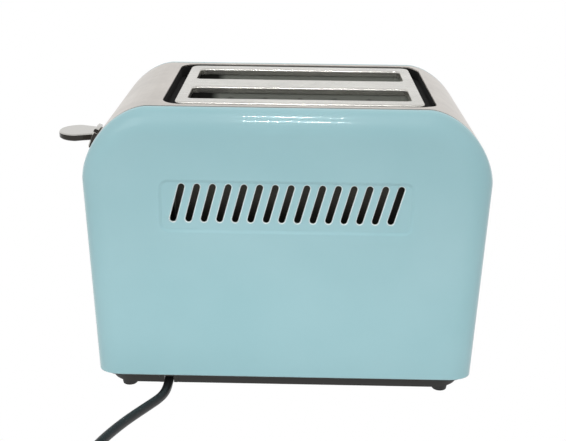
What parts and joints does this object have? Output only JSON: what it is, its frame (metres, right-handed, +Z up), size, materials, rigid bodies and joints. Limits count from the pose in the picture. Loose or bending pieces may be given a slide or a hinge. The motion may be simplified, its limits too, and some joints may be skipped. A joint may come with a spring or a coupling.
{
  "type": "pop-up toaster",
  "caption": "Retro pop-up toaster for two slices, with enamelled side panels, a steel wrap, lever, browning knob, push buttons, crumb tray and mains cord.",
  "frame": {"origin": "on the table under the middle of the toaster's box, lever included and cord left out", "axes": "+X along the body away from the lever, +Y towards the back panel, +Z up"},
  "size_m": [0.282, 0.333, 0.192],
  "materials": {
    "mint_enamel": "glossy stoved enamel on drawn steel",
    "brushed_steel": "brushed stainless sheet",
    "black_moulding": "black heat-resisting moulding",
    "rubber": "black rubber",
    "zinc_steel": "zinc-plated sheet steel",
    "mica": "mica card with heating ribbon",
    "guard_wire": "plated steel wire",
    "chrome": "polished chrome plate",
    "spring_steel": "spring steel wire",
    "soft_iron": "laminated iron",
    "copper_winding": "enamelled copper winding",
    "circuit_board": "green circuit board",
    "cream_plastic": "cream thermoset",
    "cord_jacket": "black flexible cord jacket",
    "brass": "plated brass"
  },
  "bodies": {
    "housing": {"base": "black_moulding", "feet": "rubber", "base_screws": "zinc_steel", "side_panel_front": "mint_enamel", "side_panel_back": "mint_enamel", "top_band": "brushed_steel", "top_surround": "black_moulding", "slot_frame": "brushed_steel", "slot_liners": "zinc_steel", "end_plate_left": "zinc_steel", "end_plate_right": "zinc_steel", "heat_shield_front": "zinc_steel", "heat_shield_back": "zinc_steel", "heater_front_outer": "mica", "heater_front_inner": "mica", "heater_back_inner": "mica", "heater_back_outer": "mica", "guide_rod": "chrome", "rod_bracket": "zinc_steel", "return_spring": "spring_steel", "magnet_core": "soft_iron", "magnet_coil": "copper_winding", "control_board": "circuit_board", "potentiometer": "zinc_steel", "button_guide": "black_moulding", "terminal_block": "cream_plastic", "strain_relief": "rubber", "cord_lead": "cord_jacket", "cord_coil": "cord_jacket", "cord_tail": "cord_jacket", "plug": "cord_jacket", "plug_blades": "brass"},
    "carriage": {"bread_rack_front": "zinc_steel", "bread_rack_back": "zinc_steel", "rack_tie": "zinc_steel", "carriage": "zinc_steel", "keeper_plate": "soft_iron", "lever_handle": "chrome"},
    "guard_front_outer": {"guard_front_outer": "guard_wire"},
    "guard_front_inner": {"guard_front_inner": "guard_wire"},
    "guard_back_inner": {"guard_back_inner": "guard_wire"},
    "guard_back_outer": {"guard_back_outer": "guard_wire"},
    "browning_knob": {"browning_knob": "black_moulding", "browning_shaft": "zinc_steel"},
    "cancel_button": {"cancel_button": "chrome"},
    "reheat_button": {"reheat_button": "chrome"},
    "defrost_button": {"defrost_button": "chrome"},
    "crumb_tray": {"crumb_tray": "zinc_steel"}
  },
  "joints": [
    {"name": "lever_slide", "type": "slide", "parent": "housing", "child": "carriage", "axis": [0, 0, -1], "range_m": [0, 0.072], "stiffness_N_per_m": 50, "springref_m": -0.06, "deforming": ["return_spring"]},
    {"name": "guard_front_outer_pivot", "type": "hinge", "parent": "housing", "child": "guard_front_outer", "pos_m": [0.0215, -0.046, 0.038], "axis": [-1, 0, 0], "range_deg": [0, 4.1]},
    {"name": "guard_front_inner_pivot", "type": "hinge", "parent": "housing", "child": "guard_front_inner", "pos_m": [0.0215, -0.0104, 0.038], "axis": [1, 0, 0], "range_deg": [0, 4.1]},
    {"name": "guard_back_inner_pivot", "type": "hinge", "parent": "housing", "child": "guard_back_inner", "pos_m": [0.0215, 0.0104, 0.038], "axis": [-1, 0, 0], "range_deg": [0, 4.1]},
    {"name": "guard_back_outer_pivot", "type": "hinge", "parent": "housing", "child": "guard_back_outer", "pos_m": [0.0215, 0.046, 0.038], "axis": [1, 0, 0], "range_deg": [0, 4.1]},
    {"name": "browning_turn", "type": "hinge", "parent": "housing", "child": "browning_knob", "pos_m": [-0.1093, 0, 0.048], "axis": [-1, 0, 0], "range_deg": [-135, 135]},
    {"name": "cancel_press", "type": "slide", "parent": "housing", "child": "cancel_button", "axis": [1, 0, 0], "range_m": [0, 0.0016], "stiffness_N_per_m": 400, "springref_m": -0.002},
    {"name": "reheat_press", "type": "slide", "parent": "housing", "child": "reheat_button", "axis": [1, 0, 0], "range_m": [0, 0.0016], "stiffness_N_per_m": 400, "springref_m": -0.002},
    {"name": "defrost_press", "type": "slide", "parent": "housing", "child": "defrost_button", "axis": [1, 0, 0], "range_m": [0, 0.0016], "stiffness_N_per_m": 400, "springref_m": -0.002},
    {"name": "tray_slide", "type": "slide", "parent": "housing", "child": "crumb_tray", "axis": [1, 0, 0], "range_m": [0, 0.17]}
  ],
  "couplings": [
    {"joint": "guard_front_outer_pivot", "follows": "lever_slide", "rad_per_m": 0.96963},
    {"joint": "guard_front_inner_pivot", "follows": "lever_slide", "rad_per_m": 0.96963},
    {"joint": "guard_back_inner_pivot", "follows": "lever_slide", "rad_per_m": 0.96963},
    {"joint": "guard_back_outer_pivot", "follows": "lever_slide", "rad_per_m": 0.96963}
  ]
}
